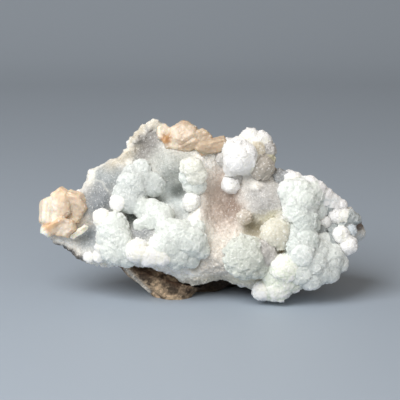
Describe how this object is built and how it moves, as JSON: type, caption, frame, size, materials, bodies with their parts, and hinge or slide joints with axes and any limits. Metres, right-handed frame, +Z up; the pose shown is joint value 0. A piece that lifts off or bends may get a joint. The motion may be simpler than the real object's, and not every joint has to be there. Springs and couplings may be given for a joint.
{
  "type": "apophyllite cluster",
  "caption": "Hand-sized mineral specimen: pale mint and white apophyllite balls on a sugary druse crust over basalt, with peach stilbite blades at one end and along the top.",
  "frame": {"origin": "bottom centre of the bounding box, on the surface that the cluster rests on", "axes": "+Z up; +X to the right along the longest side, seen from the front; the druse face looks towards -Y and leans back"},
  "size_m": [0.1307, 0.06, 0.0725],
  "materials": {
    "basalt": "rough brown broken rock",
    "druse": "sugary grey to rose quartz druse",
    "mint_apophyllite": "milky mint, softly translucent",
    "white_apophyllite": "snow white, softly translucent",
    "cream_apophyllite": "milky cream, softly translucent",
    "peach_stilbite": "peach to orange, pearly",
    "smoky_crystal": "smoky grey, translucent"
  },
  "bodies": {
    "root": {"basalt_matrix": "basalt", "druse_crust": "druse", "apophyllite_left": "mint_apophyllite", "apophyllite_right": "mint_apophyllite", "apophyllite_upper": "mint_apophyllite", "apophyllite_crown": "white_apophyllite", "apophyllite_end": "white_apophyllite", "apophyllite_pearl_upper": "white_apophyllite", "apophyllite_pearl_middle": "white_apophyllite", "apophyllite_pearl_lower": "white_apophyllite", "apophyllite_pearl_right": "white_apophyllite", "apophyllite_cream_ball": "cream_apophyllite", "stilbite_left": "peach_stilbite", "stilbite_splinter": "peach_stilbite", "stilbite_top": "peach_stilbite", "smoky_blades": "smoky_crystal"}
  },
  "joints": []
}
